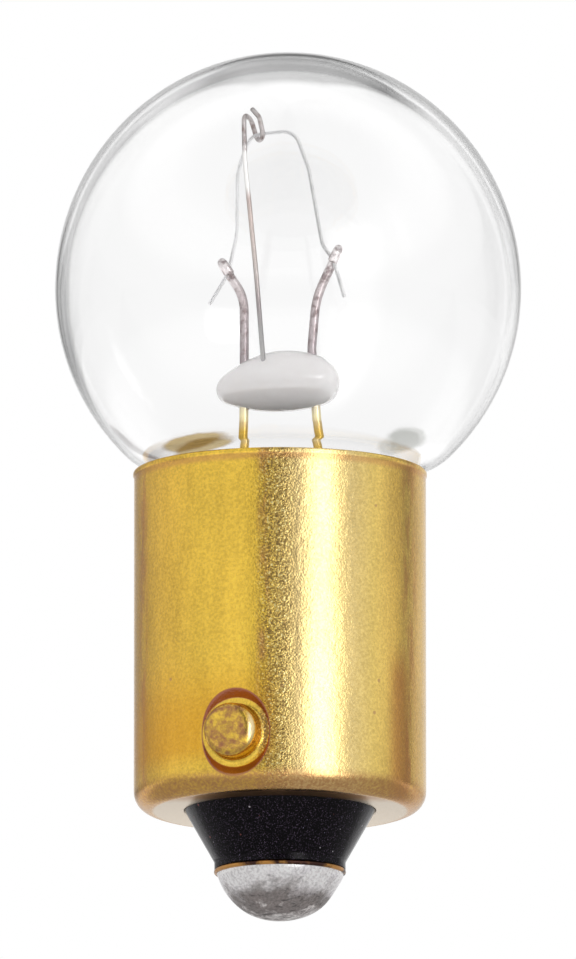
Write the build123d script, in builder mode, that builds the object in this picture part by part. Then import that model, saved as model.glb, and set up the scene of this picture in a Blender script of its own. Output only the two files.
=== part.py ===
from build123d import *
from math import acos, cos, degrees, radians, sin, sqrt
import os

# Miniature globe bulb on a bayonet cap: a clear glass ball with a bead-mounted filament.
# Millimetres. Z runs up the cap's axis to the globe, and the two pins lie along Y at Z = 0.

# Cap shell
shell_diameter = 9.0
shell_wall = 0.25
rim_level = 8.82  # top edge of the shell, above the pins
shell_bottom = -1.76  # flat end of the shell, below the pins
shell_corner = 0.6  # outside round where the wall turns in
mouth_radius = 2.93  # hole in the shell's end
lip_height = 0.16  # shallow bead pressed round the rim
lip_rise = 0.03

# Bayonet pins, pressed out of the wall in flat round pads
pin_radius = 0.83
pin_rise = 0.72  # beyond the shell's outside
pin_round = 0.3  # edge of the pin's head
pin_foot = 0.16  # fillet at the pin's foot
pad_radius = 1.08  # flat floor of the pad
pad_rim_radius = 1.36  # where the pad's sloped step meets the shell
pad_sink = 0.14  # floor of the pad, below the shell's outside

# Insulator, eyelet and solder at the cap's end
insulator_top = -0.72
nose_level = -3.34  # where the cone becomes a short straight nose
nose_radius = 2.02
eyelet_level = -3.58  # top face of the eyelet's disc
eyelet_thickness = 0.14
eyelet_radius = 2.03
barrel_radius = 0.65
barrel_wall = 0.15
barrel_top = -2.52
solder_radius = 1.95
solder_tip = -5.15
solder_shoulder = (0.87, 0.36)  # shares of the dome's radius and depth
solder_cheek = (0.57, 0.79)

# Glass envelope
globe_radius = 7.2
crown_rise = 0.12  # the top stands this much over a true ball
glass_wall = 0.3
globe_shift = 0.25  # the globe sits off the cap's axis by this much, along the leads
shoulder_radius = 1.6  # tighter curve under the ball
waist_radius = 1.0  # hollow curve into the neck
waist_angle = 75  # how far below the level the shoulder ends, in degrees
waist_drop = 0.7  # start of the straight neck, below the rim
neck_room = 0.62  # between the shell's inside and the neck
seal_level = 4.08  # under side of the neck's closed end
seal_thickness = 1.0
seal_round = 1.2

# Exhaust tube
exhaust_radius = 0.8
exhaust_bore = 0.4
exhaust_tip = 1.48
exhaust_tip_wall = 0.7

# Wires
mount_turn = 18  # the leads' plane is turned from the pins' axis by this, in degrees
lead_diameter = 0.28
support_diameter = 0.15
filament_diameter = 0.13  # outside of the coil
hook_slack = 0.01  # room for the coil between a hook's legs
throat_share = 0.88  # depth of the filament under a hook's tip, as a share of the fold
hook_length = 0.5  # the part of each lead that is folded back over the filament
hook_bend_share = 0.49  # bend of a hook's two corners, as a share of the fold
lead_feet = (-16, 21.5)  # where the leads pass the seal, in percent of the globe's radius
pigtail_depth = 0.6  # of the support's loop, front to back
pigtail_bend = 0.25
support_out = 0.64  # the support's foot, in front of the leads
side_lead_gap = 0.15  # from the side lead to the shell's inside
side_lead_dip = 2.88
side_lead_end = 8.33
centre_lead_turn = (2.48, 0.48)  # levels between which the centre lead moves to the axis
centre_lead_end = -4.32

# Bends along each wire, hooks and pigtail apart
side_lead_bends = (0.5, 0.5, 2.5, 1.5)
centre_lead_bends = (0.6, 0.6, 3, 2, 3)
filament_bends = (1, 3, 2, 0.5, 0.5, 1.5, 0.9, 0.8)
support_bends = (12, 5)

# Bead
bead_length = 3.82
bead_radius = 0.95
bead_crown = 3.75  # radius of the long curve along the bead
bead_peak = 0.2  # the fullest place, right of the bead's middle
bead_tilt = 4.5  # right end up, in degrees
bead_centre = (-1, -39.6)  # in percent of the globe's radius, from the globe's centre

# Cement and side solder
cement_bottom = 4.48
cement_top = 7.68
side_solder_radius = 0.33

# Worked out from the above
shell_radius = shell_diameter / 2
shell_bore = shell_radius - shell_wall
pad_reach = shell_radius - pad_sink
pin_reach = shell_radius + pin_rise
bite = (shell_wall - pad_sink) / 2  # the insulator is drawn this far into the shell, then cut back to it
neck_radius = shell_bore - neck_room
turn_in = shoulder_radius + waist_radius
ball_to_shoulder = globe_radius - shoulder_radius
shoulder_share = (neck_radius + waist_radius - turn_in * cos(radians(waist_angle))) / ball_to_shoulder
shoulder_angle = degrees(acos(shoulder_share))
waist_depth = ball_to_shoulder * sin(radians(shoulder_angle)) + turn_in * sin(radians(waist_angle))
globe_level = rim_level - waist_drop + waist_depth
fold = lead_diameter + filament_diameter + hook_slack  # between the two legs of a hook
hook_bend = fold * hook_bend_share
side_lead_reach = shell_bore - side_lead_gap - lead_diameter / 2

# The leads' plane: x across the pair of leads, y up the cap's axis, z out towards the front.
across = Vector(1, 0, 0).rotate(Axis.Z, mount_turn)
front = Vector(0, -1, 0).rotate(Axis.Z, mount_turn)
mount_face = Plane(origin=(0, 0, 0), x_dir=across, z_dir=front)
globe_face = Plane(origin=across * globe_shift, x_dir=across, z_dir=front)
globe_axis = Axis(across * globe_shift, (0, 0, 1))


# A place in the leads' plane, in percent of the globe's radius from the cap's axis and the
# globe's level, with a distance out to the front in millimetres.
def spot(x_percent, y_percent, out=0):
    unit = globe_radius / 100
    return Vector(x_percent * unit, globe_level + y_percent * unit, out)


# The last stretch of a lead: up to its tip, over to the front and back down over the filament.
def hook(bend, tip):
    back = (bend - tip).normalized() * hook_length
    over = Vector(0, 0, fold)
    return [tip, tip + over, tip + over + back]


# Where the filament crosses between the legs of a hook, just under its arch.
def throat(bend, tip):
    return tip + (bend - tip).normalized() * fold * throat_share + Vector(0, 0, fold / 2)


# Half outline of the envelope's outside, or of its inside where inset is the glass wall.
def draw_envelope(inset, foot_level, foot_round):
    centre = (0, globe_level)
    ball = globe_radius - inset
    crown = EllipticalCenterArc(centre, ball, ball + crown_rise, start_angle=90, arc_size=-90)
    belly = CenterArc(centre, ball, 0, -shoulder_angle)
    shoulder_turn = shoulder_angle - waist_angle
    shoulder = JernArc(belly @ 1, belly % 1, shoulder_radius - inset, shoulder_turn)
    waist = JernArc(shoulder @ 1, shoulder % 1, waist_radius + inset, waist_angle)
    neck = Line(waist @ 1, ((waist @ 1).X, foot_level + foot_round))
    foot = JernArc(neck @ 1, neck % 1, foot_round, -90)
    Polyline(foot @ 1, (0, foot_level), crown @ 0)


# A round wire along straight runs joined by arcs, one bend radius for each corner.
def make_wire(route, bends, diameter):
    with BuildPart() as wire:
        with BuildLine() as path:
            FilletPolyline(*[mount_face.from_local_coords(place) for place in route], radius=bends)
        with BuildSketch(Plane(path.line ^ 0)):
            Circle(diameter / 2)
        sweep()
    return wire


os.makedirs("parts", exist_ok=True)

# Shell: a drawn cup, open at the rim, with its end turned in to the mouth
with BuildPart() as shell:
    with BuildSketch(Plane.XZ):
        with BuildLine():
            Polyline(
                (mouth_radius, shell_bottom),
                (shell_radius, shell_bottom),
                (shell_radius, rim_level - lip_height),
                (shell_radius + lip_rise, rim_level - lip_height * 2 / 3),
                (shell_radius + lip_rise, rim_level - lip_height / 3),
                (shell_radius, rim_level),
                (shell_bore, rim_level),
                (shell_bore, shell_bottom + shell_wall),
                (mouth_radius, shell_bottom + shell_wall),
                close=True,
            )
        make_face()
        outer_corner = vertices().group_by(Axis.Y)[0].sort_by(Axis.X)[-1:]
        fillet(outer_corner, shell_corner)
        inner_corner = vertices().sort_by_distance((shell_bore, shell_bottom + shell_wall))[:1]
        fillet(inner_corner, shell_corner - shell_wall)
    revolve(axis=Axis.Z)
    for side in (-1, 1):
        pin_face = Plane(origin=(0, 0, 0), x_dir=(1, 0, 0), z_dir=(0, 0, side))
        # backing that keeps the wall's thickness behind the pad
        with BuildSketch(Plane(origin=(0, side * pad_reach, 0), z_dir=(0, side, 0))):
            Circle(pad_radius)
        extrude(amount=-shell_wall)
        # the pad's flat floor and sloped step
        with BuildSketch(pin_face):
            with BuildLine():
                Polyline(
                    (0, pad_reach),
                    (pad_radius, pad_reach),
                    (pad_rim_radius, shell_radius),
                    (pad_rim_radius, pin_reach),
                    (0, pin_reach),
                    close=True,
                )
            make_face()
        revolve(axis=Axis.Y, mode=Mode.SUBTRACT)
        # the pin, with a round head and a filleted foot
        with BuildSketch(pin_face):
            with BuildLine():
                foot_edge = (pin_radius + pin_foot, pad_reach)
                foot = RadiusArc(foot_edge, (pin_radius, pad_reach + pin_foot), pin_foot)
                flank = Line(foot @ 1, (pin_radius, pin_reach - pin_round))
                head = JernArc(flank @ 1, flank % 1, pin_round, 90)
                Polyline(head @ 1, (0, pin_reach), (0, pad_reach), foot @ 0)
            make_face()
        revolve(axis=Axis.Y)
        # the hollow that the punch left inside
        with BuildSketch(pin_face):
            with BuildLine():
                hollow_radius = pin_radius - shell_wall
                hollow_mouth = (hollow_radius, pad_reach - 2 * shell_wall)
                flank = Line(hollow_mouth, (hollow_radius, pin_reach - pin_round))
                head = JernArc(flank @ 1, flank % 1, pin_round - shell_wall, 90)
                Polyline(head @ 1, (0, (head @ 1).Y), (0, (flank @ 0).Y), flank @ 0)
            make_face()
        revolve(axis=Axis.Y, mode=Mode.SUBTRACT)

# Side lead: hooked over the filament, down through bead and seal, round behind the neck to the shell
side_lead_foot = lead_feet[0] * globe_radius / 100
side_lead_back = -sqrt(side_lead_reach**2 - side_lead_foot**2)
side_lead_bend = spot(-15.4, -2.5)
side_lead_tip = spot(-24.9, 11.8)
side_lead = make_wire(
    [
        Vector(side_lead_foot, side_lead_end, side_lead_back),
        Vector(side_lead_foot, side_lead_dip, side_lead_back),
        Vector(side_lead_foot, side_lead_dip, 0),
        spot(-15.3, -21),
        side_lead_bend,
        *hook(side_lead_bend, side_lead_tip),
    ],
    [*side_lead_bends, hook_bend, hook_bend],
    lead_diameter,
)

# Centre lead: hooked over the filament's other end, down through bead and seal to the contact
centre_lead_foot = lead_feet[1] * globe_radius / 100
centre_lead_bend = spot(15.5, -2.8)
centre_lead_tip = spot(25.1, 17.9)
centre_lead = make_wire(
    [
        Vector(0, centre_lead_end, 0),
        Vector(0, centre_lead_turn[1], 0),
        Vector(centre_lead_foot, centre_lead_turn[0], 0),
        Vector(centre_lead_foot, seal_level + seal_thickness / 2, 0),
        spot(13.6, -25),
        centre_lead_bend,
        *hook(centre_lead_bend, centre_lead_tip),
    ],
    [*centre_lead_bends, hook_bend, hook_bend],
    lead_diameter,
)

# Filament: the coil's outer form, laid between the legs of both hooks and over the pigtail
filament = make_wire(
    [
        spot(-30.3, -6.5, fold / 2),
        throat(side_lead_bend, side_lead_tip),
        spot(-18.6, 24.5, fold / 2),
        spot(-18.3, 52.5, fold / 2),
        spot(-12.6, 68.3, fold / 2),
        spot(6.2, 70.3, fold / 2),
        spot(12.4, 53, fold / 2),
        spot(18.2, 19.5, fold / 2),
        throat(centre_lead_bend, centre_lead_tip),
        spot(27.6, -3.2, fold / 2),
    ],
    filament_bends,
    filament_diameter,
)

# Filament support: pressed into the bead's front, and curled into a pigtail at the top
pigtail_front = (fold + pigtail_depth) / 2
pigtail_back = (fold - pigtail_depth) / 2
filament_support = make_wire(
    [
        spot(-6.6, -39, support_out),
        spot(-10.4, 8, support_out),
        spot(-15.2, 57, pigtail_front),
        spot(-15.7, 76.7, pigtail_front),
        spot(-12.7, 76.7, pigtail_back),
        spot(-9.7, 66.4, pigtail_back),
        spot(-7, 66.4, pigtail_front),
        spot(-9, 75.4, pigtail_front),
        spot(-12.2, 80.2, fold / 2),
    ],
    [*support_bends, *[pigtail_bend] * 5],
    support_diameter,
)

# Bead: a loaf of opal glass melted round the three wires, drawn along its length and turned about it
with BuildPart() as bead:
    bead_along = across.rotate(Axis((0, 0, 0), front), bead_tilt)
    bead_fullest = mount_face.from_local_coords(spot(*bead_centre)) + bead_along * bead_peak
    # each end has the round that meets the long curve smoothly
    left_reach, right_reach = bead_length / 2 + bead_peak, bead_length / 2 - bead_peak
    swell = bead_radius * (2 * bead_crown - bead_radius)
    left_round = (swell - left_reach**2) / (2 * (bead_crown - left_reach))
    right_round = (swell - right_reach**2) / (2 * (bead_crown - right_reach))
    left_turn = degrees(acos((left_reach - left_round) / (bead_crown - left_round)))
    right_turn = degrees(acos((right_reach - right_round) / (bead_crown - right_round)))
    with BuildSketch(Plane(origin=bead_fullest, x_dir=bead_along, z_dir=front)):
        with BuildLine():
            left_end = CenterArc((left_round - left_reach, 0), left_round, 180, -left_turn)
            crown = JernArc(left_end @ 1, left_end % 1, bead_crown, left_turn + right_turn - 180)
            right_end = JernArc(crown @ 1, crown % 1, right_round, -right_turn)
            Line(right_end @ 1, left_end @ 0)
        make_face()
    revolve(axis=Axis(bead_fullest, bead_along))
    for wire in (side_lead, centre_lead, filament_support):
        add(wire.part, mode=Mode.SUBTRACT)

# Globe: blown ball, shoulder and neck, closed at the foot round the leads
with BuildPart() as globe:
    with BuildSketch(globe_face):
        with BuildLine():
            draw_envelope(0, seal_level, seal_round)
        make_face()
    revolve(axis=globe_axis)
    with BuildSketch(globe_face):
        with BuildLine():
            draw_envelope(glass_wall, seal_level + seal_thickness, seal_round - glass_wall)
        make_face()
    revolve(axis=globe_axis, mode=Mode.SUBTRACT)
    with BuildSketch(Plane.XY.offset(seal_level)):
        Circle(exhaust_bore)
    extrude(amount=seal_thickness, mode=Mode.SUBTRACT)
    for wire in (side_lead, centre_lead):
        add(wire.part, mode=Mode.SUBTRACT)

# Exhaust tube: a stub under the seal, melted shut at its tip
with BuildPart() as exhaust_tube:
    with BuildSketch(Plane.XZ):
        with BuildLine():
            tip = CenterArc((0, exhaust_tip + exhaust_radius), exhaust_radius, -90, 90)
            bore_end = exhaust_tip + exhaust_tip_wall
            Polyline(
                tip @ 1,
                (exhaust_radius, seal_level),
                (exhaust_bore, seal_level),
                (exhaust_bore, bore_end + exhaust_bore),
                (0, bore_end),
                tip @ 0,
            )
        make_face()
    revolve(axis=Axis.Z)

# Basing cement: fills the gap between neck and shell
with BuildPart() as basing_cement:
    with BuildSketch(Plane.XY.offset(cement_bottom)):
        Circle(shell_bore)
        with Locations(across * globe_shift):
            Circle(neck_radius, mode=Mode.SUBTRACT)
    extrude(amount=cement_top - cement_bottom)
    add(side_lead.part, mode=Mode.SUBTRACT)

# Side solder: a drop that joins the side lead's end to the shell's inside
with BuildPart() as side_solder:
    drop_centre = mount_face.from_local_coords(Vector(side_lead_foot, side_lead_end, side_lead_back))
    with Locations(drop_centre):
        Sphere(side_solder_radius)
    with BuildSketch(Plane.XY.offset(cement_top)):
        Circle(shell_bore)
    extrude(amount=rim_level - cement_top, mode=Mode.INTERSECT)
    add(side_lead.part, mode=Mode.SUBTRACT)

# Contact eyelet: a disc with a short barrel that lines the insulator's hole
with BuildPart() as contact_eyelet:
    with BuildSketch(Plane.XY.offset(eyelet_level)):
        Circle(eyelet_radius)
        Circle(barrel_radius - barrel_wall, mode=Mode.SUBTRACT)
    extrude(amount=-eyelet_thickness)
    with BuildSketch(Plane.XY.offset(eyelet_level)):
        Circle(barrel_radius)
        Circle(barrel_radius - barrel_wall, mode=Mode.SUBTRACT)
    extrude(amount=barrel_top - eyelet_level)

# Insulator: black glass run into the shell's end, a cone outside with a hole for the barrel
with BuildPart() as insulator:
    with BuildSketch(Plane.XZ):
        with BuildLine():
            Polyline(
                (barrel_radius, insulator_top),
                (shell_bore + bite, insulator_top),
                (shell_bore + bite, shell_bottom + shell_wall - bite),
                (mouth_radius + bite, shell_bottom + shell_wall - bite),
                (mouth_radius, shell_bottom),
                (nose_radius, nose_level),
                (nose_radius, eyelet_level),
                (barrel_radius, eyelet_level),
                close=True,
            )
        make_face()
    revolve(axis=Axis.Z)
    add(shell.part, mode=Mode.SUBTRACT)

# Contact solder: a dome under the eyelet that fills its barrel round the centre lead
with BuildPart() as contact_solder:
    with BuildSketch(Plane.XZ):
        with BuildLine():
            plug_radius = barrel_radius - barrel_wall
            plug_top = (eyelet_level + barrel_top) / 2
            base = eyelet_level - eyelet_thickness
            depth = base - solder_tip
            dome = Spline(
                (solder_radius, base),
                (solder_shoulder[0] * solder_radius, base - solder_shoulder[1] * depth),
                (solder_cheek[0] * solder_radius, base - solder_cheek[1] * depth),
                (0, solder_tip),
                tangents=((-0.3, -1), (-1, 0)),
            )
            Polyline(dome @ 1, (0, plug_top), (plug_radius, plug_top), (plug_radius, base), dome @ 0)
        make_face()
    revolve(axis=Axis.Z)
    add(centre_lead.part, mode=Mode.SUBTRACT)

pieces = {
    "globe": globe,
    "exhaust_tube": exhaust_tube,
    "bead": bead,
    "side_lead": side_lead,
    "centre_lead": centre_lead,
    "filament_support": filament_support,
    "filament": filament,
    "shell": shell,
    "basing_cement": basing_cement,
    "side_solder": side_solder,
    "insulator": insulator,
    "contact_eyelet": contact_eyelet,
    "contact_solder": contact_solder,
}
for name, piece in pieces.items():
    piece.part.label = name
    export_step(piece.part, f"parts/{name}.step")
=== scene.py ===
import math
import bmesh
import bpy
import numpy as np
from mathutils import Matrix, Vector


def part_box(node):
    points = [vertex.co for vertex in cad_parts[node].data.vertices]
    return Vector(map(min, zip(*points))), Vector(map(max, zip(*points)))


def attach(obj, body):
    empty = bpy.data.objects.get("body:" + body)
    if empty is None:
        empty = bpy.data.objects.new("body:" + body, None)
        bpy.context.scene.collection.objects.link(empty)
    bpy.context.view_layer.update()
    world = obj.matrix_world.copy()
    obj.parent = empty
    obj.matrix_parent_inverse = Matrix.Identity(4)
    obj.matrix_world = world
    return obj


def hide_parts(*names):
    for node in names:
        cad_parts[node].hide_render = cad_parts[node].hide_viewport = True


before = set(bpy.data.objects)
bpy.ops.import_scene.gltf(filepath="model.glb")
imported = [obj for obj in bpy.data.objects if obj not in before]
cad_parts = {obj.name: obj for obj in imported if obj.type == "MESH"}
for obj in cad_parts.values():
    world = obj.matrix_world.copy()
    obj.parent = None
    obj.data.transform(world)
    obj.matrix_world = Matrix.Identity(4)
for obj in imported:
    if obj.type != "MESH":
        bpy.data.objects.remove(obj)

# Miniature globe bulb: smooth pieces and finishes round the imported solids.
# Shapes are worked out in millimetres in the frame's axes; makePiece puts them into metres.
mm = 0.001
degree = math.pi / 180
weldGap, sliverGap = 1e-7, 1e-8  # metres
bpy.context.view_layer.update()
boxes = {name: [np.array(corner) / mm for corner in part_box(name)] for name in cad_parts}
mountTurn = math.radians(18)  # the leads' plane is turned from the pins' axis
across = np.array([math.cos(mountTurn), math.sin(mountTurn), 0])
front = np.array([math.sin(mountTurn), -math.cos(mountTurn), 0])
upward = np.array([0.0, 0.0, 1.0])
shellTop = boxes["shell"][1][2]
solderTip = boxes["contact_solder"][0][2]
print("frame loaded:", len(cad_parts), "nodes")


# mesh helpers

# Vectors divided by their own length.
def unit(vectors):
    return vectors / np.linalg.norm(vectors, axis=-1, keepdims=True)


# Points of a circle's arc about a centre, from one angle to another in degrees.
def arcPoints(centre, radius, startAngle, endAngle, count):
    turn = np.radians(np.linspace(startAngle, endAngle, count))
    return np.stack([centre[0] + radius * np.cos(turn), centre[1] + radius * np.sin(turn)], -1)


# Straight runs joined by arcs: an arc's centre lies on the corner's bisector, and its points are the first
# spoke turned evenly into the last one.
def bendRoute(route, radii, count):
    route = np.asarray(route, float)
    corner = route[1:-1]
    toBefore = unit(route[:-2] - corner)
    toAfter = unit(route[2:] - corner)
    half = np.arccos(np.clip((toBefore * toAfter).sum(-1, keepdims=True), -1, 1)) / 2
    radii = np.asarray(radii, float)[:, None]
    centre = corner + unit(toBefore + toAfter) * radii / np.sin(half)
    firstSpoke = (corner + toBefore * radii / np.tan(half) - centre)[:, None]
    lastSpoke = (corner + toAfter * radii / np.tan(half) - centre)[:, None]
    sweep = (math.pi - 2 * half)[:, None]
    share = np.linspace(0, 1, count)[None, :, None]
    spokes = (np.sin((1 - share) * sweep) * firstSpoke + np.sin(share * sweep) * lastSpoke) / np.sin(sweep)
    arcs = (centre[:, None] + spokes).reshape(-1, route.shape[1])
    return np.concatenate([route[:1], arcs, route[-1:]])


# A smooth curve through knots: cubic pieces, the slope at a knot taken from its neighbours.
def smoothCurve(knots, startSlope, endSlope, count):
    knots = np.asarray(knots, float)
    reach = np.concatenate([[0], np.cumsum(np.linalg.norm(np.diff(knots, axis=0), axis=1))])
    slopes = np.gradient(knots, reach, axis=0)
    slopes[0], slopes[-1] = unit(np.array(startSlope)), unit(np.array(endSlope))
    place = np.linspace(0, reach[-1], count)
    piece = np.clip(np.searchsorted(reach, place, "right") - 1, 0, len(knots) - 2)
    span = np.diff(reach)[piece][:, None]
    t = (place - reach[piece])[:, None] / span
    fromKnot = (2 * t**3 - 3 * t**2 + 1) * knots[piece] + (t**3 - 2 * t**2 + t) * span * slopes[piece]
    toKnot = (3 * t**2 - 2 * t**3) * knots[piece + 1] + (t**3 - t**2) * span * slopes[piece + 1]
    return fromKnot + toKnot


# A profile of radius and height turned about Z: (r cos t, r sin t, z), each ring shifted by its own centre.
def lathe(profile, segments, centres=0.0):
    turn = np.linspace(0, 2 * math.pi, segments, endpoint=False)
    radius = profile[:, :1]
    height = np.repeat(profile[:, 1:2], segments, axis=1)
    rings = np.stack([radius * np.cos(turn), radius * np.sin(turn), height], -1)
    return rings + np.asarray(centres, float).reshape(-1, 1, 3) if np.ndim(centres) else rings


# A circle carried along a path: path + radius (normal cos t + binormal sin t), the normal being the
# sideways vector made square to the path.
def sweepTube(path, radius, sides, sideways):
    tangent = unit(np.gradient(path, axis=0))
    sideways = np.broadcast_to(sideways, path.shape)
    normal = unit(sideways - (sideways * tangent).sum(-1, keepdims=True) * tangent)
    binormal = np.cross(tangent, normal)
    turn = np.linspace(0, 2 * math.pi, sides, endpoint=False)[None, :, None]
    ring = normal[:, None] * np.cos(turn) + binormal[:, None] * np.sin(turn)
    return path[:, None] + np.asarray(radius).reshape(-1, 1, 1) * ring


# Cut ends for a tube: two more rings at each end, the last of no radius, with a small bevel.
def closeEnds(path, radius, bevel=0.3, tipStep=0.02):
    begin = unit(path[1] - path[0]) * radius
    finish = unit(path[-2] - path[-1]) * radius
    steps = np.array([0, tipStep, bevel])[:, None]
    ends = [path[0] + begin * steps, path[1:-1], path[-1] + finish * steps[::-1]]
    radii = [[0, 1 - bevel, 1], np.ones(len(path) - 2), [1, 1 - bevel, 0]]
    return np.concatenate(ends), np.concatenate(radii) * radius


# Quads between neighbouring rows and columns of a grid of points, the columns closed round.
def gridFaces(rows, columns, closeRows=False):
    row = np.arange(rows if closeRows else rows - 1)[:, None]
    column = np.arange(columns)[None, :]
    nextRow = (row + 1) % rows * columns
    nextColumn = (column + 1) % columns
    row = row * columns
    corners = [row + column, row + nextColumn, nextRow + nextColumn, nextRow + column]
    return np.stack(np.broadcast_arrays(*corners), -1).reshape(-1, 4)


# One object from grids of points: welded, faces outwards, smooth up to the given crease angle.
def makePiece(name, grids, material, node, crease=40):
    points, faces, count = [], [], 0
    for grid, quads in grids:
        points.append(grid.reshape(-1, 3) * mm)
        faces.append(quads + count)
        count += len(points[-1])
    mesh = bpy.data.meshes.new(name)
    mesh.from_pydata(np.concatenate(points).tolist(), [], np.concatenate(faces).tolist())
    work = bmesh.new()
    work.from_mesh(mesh)
    bmesh.ops.remove_doubles(work, verts=work.verts, dist=weldGap)
    bmesh.ops.dissolve_degenerate(work, edges=work.edges, dist=sliverGap)
    bmesh.ops.recalc_face_normals(work, faces=work.faces)
    work.to_mesh(mesh)
    work.free()
    mesh.polygons.foreach_set("use_smooth", np.ones(len(mesh.polygons), bool))
    mesh.set_sharp_from_angle(angle=math.radians(crease))
    mesh.materials.append(material)
    piece = bpy.data.objects.new(name, mesh)
    bpy.context.scene.collection.objects.link(piece)
    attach(piece, "root")
    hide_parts(node)
    print("made", name, "with", len(mesh.polygons), "faces")


# A whole grid with its faces, as makePiece takes it.
def wholeGrid(points, closeRows=False):
    return points, gridFaces(points.shape[0], points.shape[1], closeRows)


# shader helpers

# A node with its settings; a socket given for an input is linked, and anything else is set. The node goes
# into the sockets' own tree where none is given.
def addNode(kind, inputs, tree=None, **settings):
    if tree is None:
        tree = next(value.id_data for value in inputs.values() if isinstance(value, bpy.types.NodeSocket))
    node = tree.nodes.new("ShaderNode" + kind)
    for key, value in settings.items():
        setattr(node, key, value)
    for key, value in inputs.items():
        if isinstance(value, bpy.types.NodeSocket):
            tree.links.new(value, node.inputs[key])
        else:
            node.inputs[key].default_value = value
    return node


# A value led into one of a node's inputs.
def link(value, node, name):
    value.id_data.links.new(value, node.inputs[name])


# An empty node group with named inputs and one value as its output.
def newGroup(name, inputs, output):
    group = bpy.data.node_groups.new(name, "ShaderNodeTree")
    for label in inputs:
        kind = "NodeSocketVector" if label == "Vector" else "NodeSocketFloat"
        group.interface.new_socket(label, in_out="INPUT", socket_type=kind)
    group.interface.new_socket(output, in_out="OUTPUT", socket_type="NodeSocketFloat")
    return group, group.nodes.new("NodeGroupInput").outputs, group.nodes.new("NodeGroupOutput")


# A group's output at a place.
def placeGroup(group, place, **values):
    return addNode("Group", {"Vector": place, **values}, node_tree=group).outputs[0]


# A material with one surface shader, whose inputs are named with _ for each space.
def newMaterial(name, **values):
    material = bpy.data.materials.new(name)
    material.use_nodes = True
    tree = material.node_tree
    tree.nodes.clear()
    shader = addNode("BsdfPrincipled", {key.replace("_", " "): value for key, value in values.items()}, tree)
    link(shader.outputs["BSDF"], addNode("OutputMaterial", {}, tree), "Surface")
    return material, shader, addNode("TexCoord", {}, tree).outputs["Object"]


# An operation on one or two values.
def calc(operation, first, second=0.0):
    return addNode("Math", {0: first, 1: second}, operation=operation).outputs[0]


# The sum of two values.
def plus(first, second):
    return calc("ADD", first, second)


# The product of all the factors.
def times(first, *others):
    for other in others:
        first = calc("MULTIPLY", first, other)
    return first


# The long side of a right angle: sqrt(a^2 + b^2).
def longSide(first, second):
    return calc("SQRT", plus(calc("POWER", first, 2), calc("POWER", second, 2)))


# How far a value lies from a middle, either way.
def awayFrom(value, middle):
    return calc("ABSOLUTE", plus(value, -middle))


# A value carried from one range to another and held beyond it, eased at both ends: 3t^2 - 2t^3.
def spread(value, low, high, newLow=0.0, newHigh=1.0, kind="SMOOTHSTEP"):
    inputs = {"Value": value, "From Min": low, "From Max": high, "To Min": newLow, "To Max": newHigh}
    return addNode("MapRange", inputs, interpolation_type=kind).outputs["Result"]


# The same with the first range in millimetres.
def spreadMm(value, low, high, newLow=0.0, newHigh=1.0):
    return spread(value, low * mm, high * mm, newLow, newHigh)


# The same without easing: t itself.
def even(value, low, high, newLow=0.0, newHigh=1.0):
    return spread(value, low, high, newLow, newHigh, "LINEAR")


# A band of a value: eased up between the first two limits and down between the last two.
def band(value, limits, scale=1.0):
    start, full, fullEnd, end = [limit * scale for limit in limits]
    return times(spread(value, start, full), spread(value, end, fullEnd))


# Two values mixed by a mask: first (1 - mask) + second mask.
def mixValue(mask, first, second):
    return addNode("Mix", {0: mask, 2: first, 3: second}).outputs[0]


# Two colours mixed by a mask in the same way, or blended otherwise; either may be a socket.
def mixColour(mask, first, second, blend="MIX"):
    first, second = [(*tone, 1) if isinstance(tone, tuple) else tone for tone in (first, second)]
    return addNode("Mix", {0: mask, 6: first, 7: second}, data_type="RGBA", blend_type=blend).outputs[2]


# A colour with each channel multiplied by the same value.
def shaded(colour, value):
    grey = addNode("CombineColor", {0: value, 1: value, 2: value}).outputs[0]
    return mixColour(1.0, colour, grey, "MULTIPLY")


# A ramp with stops of (position, tone).
def toneRamp(factor, stops):
    ramp = addNode("ValToRGB", {"Fac": factor})
    elements = ramp.color_ramp.elements
    while len(elements) < len(stops):
        elements.new(0.5)
    for element, (position, tone) in zip(elements, stops):
        element.position = position
        element.color = (*tone, 1)
    return ramp.outputs["Color"]


# Tones along an axis of the object, from stops of (millimetres, tone).
def tonesAlong(distance, stops):
    low, high = stops[0][0], stops[-1][0]
    share = even(distance, low * mm, high * mm)
    return toneRamp(share, [((level - low) / (high - low), tone) for level, tone in stops])


# Greys along an angle, from stops of (degrees, level).
def levelsAlong(angle, stops, full=1.0):
    share = even(angle, stops[0][0] * degree, stops[-1][0] * degree)
    span = stops[-1][0] - stops[0][0]
    return toneRamp(share, [((turn - stops[0][0]) / span, (level / full,) * 3) for turn, level in stops])


# Distance along an axis of the object: the dot product with it.
def alongAxis(place, axis):
    return addNode("VectorMath", {0: place, 1: tuple(axis)}, operation="DOT_PRODUCT").outputs["Value"]


# A place with each of its parts multiplied by a factor of its own.
def stretched(place, factors):
    return addNode("VectorMath", {0: place, 1: factors}, operation="MULTIPLY").outputs["Vector"]


# Distance of a place from the origin.
def lengthOf(place):
    return addNode("VectorMath", {0: place}, operation="LENGTH").outputs["Value"]


# A noise between 0 and 1.
def noise(place, scale, detail, roughness=0.5):
    inputs = {"Vector": place, "Scale": scale, "Detail": detail, "Roughness": roughness}
    return addNode("TexNoise", inputs).outputs["Fac"]


# Clouds: soft blotches, a noise stretched between two levels.
cloudGroup, cloudIn, cloudOut = newGroup("cloud mask", ("Vector", "Scale", "Low", "High"), "Mask")
cloudNoise = noise(cloudIn["Vector"], cloudIn["Scale"], detail=4.0, roughness=0.6)
link(spread(cloudNoise, cloudIn["Low"], cloudIn["High"]), cloudOut, "Mask")

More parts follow.
